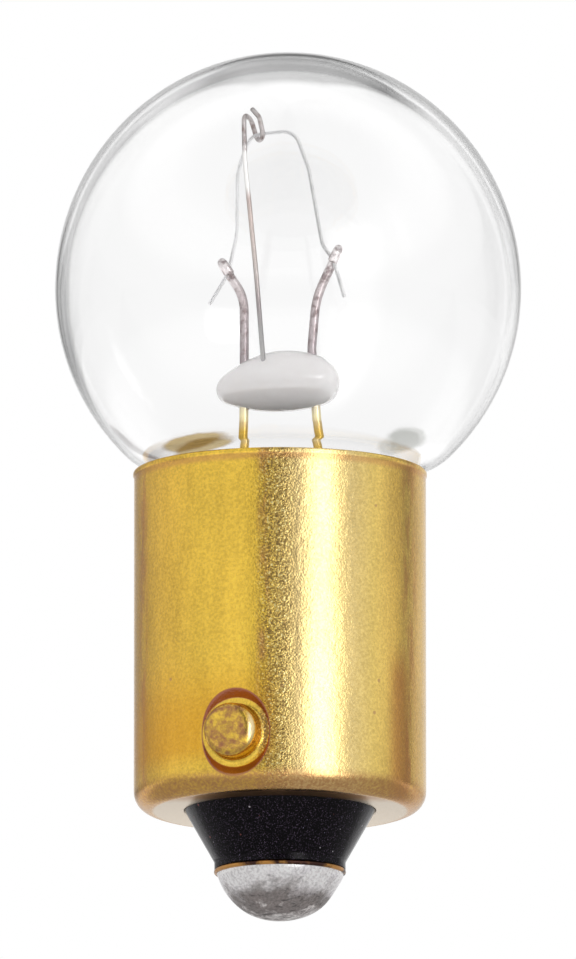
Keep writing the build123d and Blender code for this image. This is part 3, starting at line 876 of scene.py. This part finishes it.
# The wall round one pin: rings of (distance from the pin's axis, reach), then a blend from the last ring to
# the window's edge. Inside the window the reach is the wall's own, sqrt(R(z)^2 - x^2), where a ring gives
# none.
def pinPatch(rings, heights, radiusAt, side):
    angles = np.radians(np.arange(-windowColumns, windowColumns + 1.0))
    low, high = np.full(len(angles), heights[0]), np.full(len(angles), heights[-1])
    left, right = [np.full(len(heights) - 1, angle) for angle in (angles[0], angles[-1])]
    edgeAngle = np.concatenate([angles[:-1], right, angles[:0:-1], left])
    edgeHeight = np.concatenate([low[:-1], heights[:-1], high[:-1], heights[:0:-1]])
    edgeX = radiusAt(edgeHeight) * np.sin(edgeAngle)
    bearing = np.arctan2(edgeHeight, edgeX)
    distance, reach, free = rings.T[..., None]
    x, z = distance * np.cos(bearing), distance * np.sin(bearing)
    share = np.linspace(0, 1, pinForm["blendRows"] + 1)[1:, None]
    x = np.concatenate([x, x[-1] + (edgeX - x[-1]) * share])
    z = np.concatenate([z, z[-1] + (edgeHeight - z[-1]) * share])
    wall = np.sqrt(radiusAt(z)**2 - x**2)
    depth = np.where(free > 0, reach, np.minimum(wall[:len(rings)], reach))
    depth = np.concatenate([depth, wall[len(rings):]])
    return wholeGrid(np.stack([x * side, -depth * side, z], -1))


# Columns of distance, reach and whether the ring stands free of the wall.
def ringTable(outline, free):
    return np.column_stack([outline, np.full(len(outline), float(free))])


# Rings of the wall's outside round a pin: head, its round, foot, the pad's floor and its sloped step.
def outerRings():
    pin = pinForm
    headEdge, footEdge = pin["radius"] - pin["round"], pin["radius"] + pin["foot"]
    head = rowsOf(np.linspace(0, headEdge, 6), pinReach)
    headRound = arcPoints((headEdge, pinReach - pin["round"]), pin["round"], 90, 0, 10)[1:]
    foot = arcPoints((footEdge, pin["padReach"] + pin["foot"]), pin["foot"], 180, 270, 7)
    floor = rowsOf(np.linspace(footEdge + 0.03, pin["padRadius"], 3), pin["padReach"])
    pad, rim = [pin["padRadius"], pin["padReach"]], [pin["padRimRadius"], shellForm["radius"]]
    step = np.linspace(pad, rim, 10)[1:]
    raised, sunk = np.concatenate([head, headRound, foot]), np.concatenate([floor, step])
    return np.concatenate([ringTable(raised, True), ringTable(sunk, False)])


# Rings of the wall's inside round a pin: the punch's hollow, and the backing behind the pad.
def innerRings():
    pin, wall, edge = pinForm, shellForm["wall"], shellForm["edge"]
    hollow, top, backing = pin["radius"] - wall, pinReach - wall, pin["padReach"] - wall
    head = [(0, top), (hollow * 0.5, top), (hollow - edge, top), (hollow, top - edge), (hollow, backing)]
    face = [(hollow + 0.1, backing), (pin["padRadius"] - 0.02, backing), (pin["padRadius"], pin["noReach"])]
    return np.concatenate([ringTable(head, True), ringTable(face, False)])


# The cup's outline turned round the cap, without the faces in the windows, and a patch in each window.
def makeShell():
    form = shellForm
    radius, mouth, wall, edge = form["radius"], form["mouth"], form["wall"], form["edge"]
    bottom, rim, bore, lip = shellBottom, shellTop, shellBore, form["lipRise"]
    outerWindow = np.linspace(form["windowLow"], form["windowHigh"], 27)
    innerWindow = np.linspace(form["windowHigh"], cornerLevel + 0.02, 25)
    cornerEnd = math.degrees(math.asin((outerWindow[0] - cornerLevel) / form["corner"]))
    parts = {
        "mouth": [(mouth, bottom + wall - form["bevel"]), (mouth, bottom + edge), (mouth + edge, bottom)],
        "end": rowsOf(np.linspace(mouth + 0.12, cornerMiddle[0] - 0.02, 8), bottom),
        "corner": arcPoints(cornerMiddle, form["corner"], -90, cornerEnd, 12)[:-1],
        "outerWindow": rowsOf(outsideRadius(outerWindow), outerWindow),
        "wall": rowsOf(radius, np.linspace(form["wallFrom"], rim - 0.24, 24)),
        "lip": [(radius + lip * share, rim - drop) for drop, share in form["lip"]],
        "outerEdge": arcPoints((radius + lip - edge, rim - edge), edge, 15, 90, 5),
        "innerEdge": arcPoints((bore + edge, rim - edge), edge, 90, 180, 5),
        "bore": rowsOf(bore, np.linspace(rim - 0.3, form["wallFrom"], 20)),
        "innerWindow": rowsOf(bore, innerWindow),
        "innerCorner": innerCorner,
        "innerMouth": [(mouth + form["bevel"], bottom + wall)],
    }
    profile = np.concatenate(list(parts.values()))
    starts = dict(zip(parts, np.cumsum([0] + [len(part) for part in parts.values()])))
    angle = np.radians(np.arange(shellSegments) * 360 / shellSegments)
    points = roundCap(profile[:, :1], angle[None, :], profile[:, 1:])
    faces = gridFaces(len(profile), shellSegments, closeRows=True)
    row, column = np.divmod(faces[:, 0], shellSegments)
    inColumns = (column + windowColumns) % (shellSegments // 2) < 2 * windowColumns
    keep = np.ones(len(faces), bool)
    for name in ("outerWindow", "innerWindow"):
        keep &= ~(inColumns & (row >= starts[name]) & (row < starts[name] + len(parts[name]) - 1))
    grids = [(points, faces[keep])]
    for side in (1, -1):
        grids.append(pinPatch(outerRings(), outerWindow, outsideRadius, side))
        grids.append(pinPatch(innerRings(), innerWindow[::-1], insideRadius, side))
    makePiece("shellBrass", grids, capBrass, "shell", form["crease"])


makeShell()

# the cap's end: insulator, eyelet and solder, all turned about the cap's axis
# A lump has its height, its waves round the dome, and its start or its twist towards the tip.
endForm = {"insulatorTop": -0.72, "noseLevel": -3.34, "noseRadius": 2.02, "barrelRadius": 0.65,
           "barrelWall": 0.15, "solderRadius": 1.95, "eyeletThickness": 0.14, "backingClear": 4.1,
           "coneBends": [0.05, 0.25, 0.03], "eyeletRound": 0.07, "plugGap": 0.01,
           "segments": 128, "insulatorSegments": 160,
           "domeKnots": [(1.0, 0.0), (0.87, 0.36), (0.57, 0.79), (0.0, 1.0)],
           "sideLump": (0.012, 3, 1.0), "twistLump": (0.01, 5, 7.5)}
eyeletLevel = boxes["insulator"][0][2]
eyeletUnder = eyeletLevel - endForm["eyeletThickness"]
eyeletEdge, barrelTop = boxes["contact_eyelet"][1][0], boxes["contact_eyelet"][1][2]
barrelBore = endForm["barrelRadius"] - endForm["barrelWall"]


# The insulator: a disc inside the shell's end, down its corner, and a cone with a short nose below the mouth.
def makeInsulator():
    form = endForm
    barrel, nose, clear = form["barrelRadius"], form["noseRadius"], form["backingClear"]
    mouth = shellForm["mouth"]
    inside = [(barrel, form["insulatorTop"]), (clear, form["insulatorTop"]), (clear, cornerLevel)]
    cone = [(mouth, shellBottom + shellForm["wall"]), (mouth, shellBottom + 0.02), (nose, form["noseLevel"]),
            (nose, eyeletLevel), (barrel, eyeletLevel)]
    profile = np.concatenate([inside, innerCorner[1:], bendRoute(cone, form["coneBends"], 6)])
    points = lathe(profile, form["insulatorSegments"])
    makePiece("insulatorGlass", [wholeGrid(points, closeRows=True)], blackGlass, "insulator")


# The eyelet: a barrel, and a disc with a round edge.
def makeEyelet():
    barrel, edge = endForm["barrelRadius"], endForm["eyeletRound"]
    inside = [(barrelBore, eyeletUnder), (barrelBore, barrelTop), (barrel, barrelTop), (barrel, eyeletLevel)]
    rim = arcPoints((eyeletEdge - edge, eyeletLevel - edge), edge, 90, -90, 9)
    points = lathe(np.concatenate([inside, rim]), endForm["segments"])
    grids = [wholeGrid(points, closeRows=True)]
    makePiece("eyeletDisc", grids, eyeletBrass, "contact_eyelet")


# The dome's outline is a smooth curve through its shoulder and cheek; low waves round it make it lumpy.
def makeSolderDome():
    form = endForm
    depth = eyeletUnder - solderTip
    knots = np.array(form["domeKnots"]) * (form["solderRadius"], -depth)
    dome = smoothCurve(knots, (-0.3, -1), (-1, 0), 40) + (0, eyeletUnder)
    dome[-1, 0] = 0
    plugRadius = barrelBore - form["plugGap"]
    plugTop = (eyeletLevel + barrelTop) / 2
    plug = [(0, plugTop), (plugRadius, plugTop), (plugRadius, eyeletUnder)]
    points = lathe(np.concatenate([plug, dome]), form["segments"])
    turn = np.arctan2(points[..., 1], points[..., 0])
    fade = np.clip((eyeletUnder - points[..., 2]) / depth, 0, 1)
    sideHeight, sideWaves, sideStart = form["sideLump"]
    twistHeight, twistWaves, twist = form["twistLump"]
    lumps = sideHeight * np.sin(sideWaves * turn + sideStart) * fade
    lumps = lumps + twistHeight * np.sin(twistWaves * turn + twist * fade)
    points[..., :2] *= (1 + lumps * (fade > 0))[..., None]
    makePiece("solderDome", [wholeGrid(points)], solder, "contact_solder")


makeInsulator()
makeEyelet()
makeSolderDome()

# CAD nodes that keep their own form
for node, finish in (("exhaust_tube", tubeGlass), ("basing_cement", cement), ("side_solder", solder)):
    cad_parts[node].data.materials.clear()
    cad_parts[node].data.materials.append(finish)
    print("finish given to", node)

# the camera: a picture of 576 by 959, seen from a little below
viewForm = {"azimuth": 18, "elevation": -10.3, "pixelsPerMm": 32.5, "picture": (576, 959),
            "originPixel": (280, 755.16), "distance": 800, "sensor": 36, "clip": (0.01, 100)}
azimuth, elevation = math.radians(viewForm["azimuth"]), math.radians(viewForm["elevation"])
viewRight = np.array([math.cos(azimuth), math.sin(azimuth), 0])
viewLevel = np.array([math.sin(azimuth), -math.cos(azimuth), 0])
viewBack = viewLevel * math.cos(elevation) + upward * math.sin(elevation)
viewUp = np.cross(viewBack, viewRight)


# The camera stands back from the picture's middle; its lens is sensor distance / picture height.
def makeCamera():
    form = viewForm
    middle = np.array(form["picture"]) / 2
    originX, originY = form["originPixel"]
    target = (viewRight * (middle[0] - originX) + viewUp * (originY - middle[1])) / form["pixelsPerMm"]
    camera = bpy.data.objects.new("camera", bpy.data.cameras.new("camera"))
    camera.location = (target + viewBack * form["distance"]) * mm
    camera.rotation_euler = Vector(viewBack).to_track_quat("Z", "Y").to_euler()
    camera.data.sensor_width = form["sensor"]
    camera.data.lens = form["sensor"] * form["distance"] / (form["picture"][1] / form["pixelsPerMm"])
    camera.data.clip_start, camera.data.clip_end = form["clip"]
    bpy.context.scene.collection.objects.link(camera)
    bpy.context.scene.camera = camera


makeCamera()

# the studio: a pale floor under the tip, clear from below, and a soft surround that metal and glass show.
# Stops have (degrees, level): surround and through by the bearing from the camera, right positive, rim and
# field round the picture from its right, white from its middle. The field's levels are degrees from the
# middle.
studioForm = {
    "floorReach": 3.0, "diffuseLevel": 0.85, "softboxLevel": 2.3, "frontLevel": 0.57,
    "throughTop": 0.85, "lampThrough": 9.0, "nearThrough": 0.95, "insideLevel": 1.6,
    "farShine": 0.75, "farThrough": 0.92,
    "boxBearing": (15, 29, 37, 52), "boxRise": (-0.42, -0.2, 0.25, 0.45), "frontBand": (-10, -4, 4, 15),
    "surround": [
        (-180, 1.1), (-165, 0.95), (-152, 0.5), (-138, 0.36), (-126, 0.6), (-112, 0.74), (-86, 0.82),
        (-48, 0.88), (-30, 0.86), (-19, 0.68), (-12, 0.4), (-6, 0.22), (2, 0.25), (9, 0.42), (15, 0.7),
        (22, 0.85), (58, 0.85), (86, 0.85), (104, 0.66), (116, 0.42), (130, 0.38), (142, 0.62), (158, 0.95),
        (180, 1.1)
    ],
    "rim": [
        (-180, 0.55), (-165, 0.38), (-150, 0.62), (-135, 0.6), (-100, 0.8), (-60, 0.85), (-45, 0.85),
        (-30, 1.0), (-10, 0.98), (0, 0.88), (15, 0.84), (30, 0.7), (45, 0.82), (54, 0.7), (60, 0.42),
        (66, 0.24), (72, 0.42), (80, 0.48), (90, 0.46), (100, 0.52), (108, 0.42), (114, 0.6), (120, 0.76),
        (135, 0.65), (150, 0.64), (165, 0.58), (180, 0.55)
    ],
    "field": [
        (-180, 13), (-160, 14), (-140, 16), (-45, 14), (0, 13), (18, 15), (30, 22), (50, 24), (62, 25),
        (72, 19), (82, 14), (98, 14), (108, 20), (155, 22), (168, 14), (180, 13)
    ],
    "white": [(0, 0.945), (6, 0.95), (12, 1.02), (20, 1.3)],
    "through": [(0, 1.22), (50, 1.15), (85, 0.78), (125, 0.78), (150, 1.0), (180, 1.0)],
}


# The world. Metal sees the surround and a softbox; behind the object, glass sees a bright field and a
# darker rim round it; what glass lets in to the wires and the bead has levels and a lamp of its own.
def makeWorld():
    form = studioForm
    world = bpy.data.worlds.new("studio")
    bpy.context.scene.world = world
    world.use_nodes = True
    tree = world.node_tree
    tree.nodes.clear()
    direction = addNode("TexCoord", {}, tree).outputs["Generated"]
    toRight, toFront, toUp = [alongAxis(direction, axis) for axis in (across, front, upward)]
    bearing = calc("ARCTAN2", toRight, toFront)
    surround = levelsAlong(bearing, form["surround"])
    box = times(band(bearing, form["boxBearing"], degree), band(toUp, form["boxRise"]), form["softboxLevel"])

    offAxis = calc("ARCCOSINE", alongAxis(direction, -viewBack))
    clock = calc("ARCTAN2", alongAxis(direction, viewUp), toRight)
    patchy = even(noise(direction, 9.0, detail=3.0), 0.3, 0.7, 0.86, 1.12)
    backing = spread(offAxis, 54 * degree, 44 * degree)
    behind = mixColour(backing, surround, shaded(levelsAlong(clock, form["rim"]), patchy))
    field = times(levelsAlong(clock, form["field"], full=90), math.pi / 2)
    core = spread(calc("SUBTRACT", offAxis, field), 2.5 * degree, -2.5 * degree)
    behind = mixColour(core, behind, levelsAlong(offAxis, form["white"]))
    shown = mixColour(1.0, behind, box, "ADD")

    through = levelsAlong(calc("ABSOLUTE", bearing), form["through"])
    steep = spread(calc("ABSOLUTE", toUp), 0.5, 0.85)
    through = mixColour(steep, through, (form["throughTop"],) * 3)
    lampSide = spread(awayFrom(bearing, 33 * degree), 12 * degree, 3 * degree)
    lampRise = spread(awayFrom(toUp, 0.14), 0.14, 0.03)
    through = mixColour(1.0, through, times(lampSide, lampRise, form["lampThrough"]), "ADD")
    through = mixColour(backing, through, behind)

    light = addNode("LightPath", {}, tree).outputs
    shiny = calc("MAXIMUM", light["Is Glossy Ray"], light["Is Transmission Ray"])
    shown = mixColour(light["Is Transmission Ray"], shown, through)
    colour = mixColour(shiny, (form["diffuseLevel"],) * 3, shown)
    colour = mixColour(light["Is Camera Ray"], colour, (1, 1, 1))
    background = addNode("Background", {"Color": colour, "Strength": 1.0})
    link(background.outputs["Background"], addNode("OutputWorld", {}, tree), "Surface")


# The floor: pale and shaded near the tip, white farther off, and clear from below. Metal sees it darker on
# the camera's side and lit by the softbox; glass sees it brighter a little way off than near the tip.
def makeFloor():
    form, reach, ground = studioForm, studioForm["floorReach"], solderTip * mm
    mesh = bpy.data.meshes.new("floor")
    corners = [(x * reach, y * reach, ground) for x, y in ((-1, -1), (1, -1), (1, 1), (-1, 1))]
    mesh.from_pydata(corners, [], [(0, 1, 2, 3)])
    floor = bpy.data.objects.new("floor", mesh)
    bpy.context.scene.collection.objects.link(floor)
    material, shader, place = newMaterial("paleFloor", Base_Color=(0.9, 0.9, 0.9, 1), Roughness=0.7)
    tree = material.node_tree
    light = addNode("LightPath", {}, tree).outputs
    glossy, transmitted = light["Is Glossy Ray"], light["Is Transmission Ray"]
    toCamera, away = alongAxis(place, front), lengthOf(place)
    bearing = calc("ARCTAN2", alongAxis(place, across), toCamera)
    distant = spreadMm(away, 40, 90)
    shine = even(band(toCamera, form["frontBand"], mm), 0, 1, 1.0, form["frontLevel"])
    lit = times(band(bearing, form["boxBearing"], degree), spreadMm(toCamera, 7, 12))
    shine = plus(shine, times(lit, form["softboxLevel"]))
    shine = times(shine, even(distant, 0, 1, 1.0, form["farShine"]))
    inside = spreadMm(away, 14, 30, form["nearThrough"], form["insideLevel"])
    inside = mixValue(distant, inside, form["farThrough"])
    level = mixValue(transmitted, mixValue(glossy, 1.0, shine), inside)
    glow = addNode("Emission", {"Color": (1, 1, 1, 1), "Strength": level}).outputs["Emission"]
    glowing = calc("MAXIMUM", spreadMm(away, 20, 90), calc("MAXIMUM", glossy, transmitted))
    pale = addNode("MixShader", {0: glowing, 1: shader.outputs["BSDF"], 2: glow}).outputs["Shader"]
    clear = addNode("BsdfTransparent", {}, tree).outputs["BSDF"]
    under = addNode("NewGeometry", {}, tree).outputs["Backfacing"]
    shown = addNode("MixShader", {0: under, 1: pale, 2: clear}).outputs["Shader"]
    link(shown, tree.nodes["Material Output"], "Surface")
    mesh.materials.append(material)


# Lamps: bearing and elevation in degrees, distance and size in metres, power in watts.
lampForms = {"keyLamp": (36, 40, 0.6, 0.35, 0.8), "fillLamp": (-60, 30, 0.6, 0.35, 0.4)}
lampAim = 0.008  # height of the middle that they stand round, in metres


# A round lamp at a bearing and an elevation, turned to the object and not seen itself.
def makeLamp(name, bearing, elevation, distance, size, power):
    lamp = bpy.data.lights.new(name, "AREA")
    lamp.shape, lamp.size, lamp.energy = "DISK", size, power
    turn, rise = math.radians(bearing), math.radians(elevation)
    toLamp = (across * math.sin(turn) + front * math.cos(turn)) * math.cos(rise) + upward * math.sin(rise)
    lampObject = bpy.data.objects.new(name, lamp)
    lampObject.location = toLamp * distance + upward * lampAim
    lampObject.rotation_euler = Vector(toLamp).to_track_quat("Z", "Y").to_euler()
    lampObject.visible_camera = lampObject.visible_glossy = lampObject.visible_transmission = False
    bpy.context.scene.collection.objects.link(lampObject)


makeWorld()
makeFloor()
for lampName, lampValues in lampForms.items():
    makeLamp(lampName, *lampValues)
bpy.context.scene.view_settings.view_transform = "Standard"
print("studio ready")
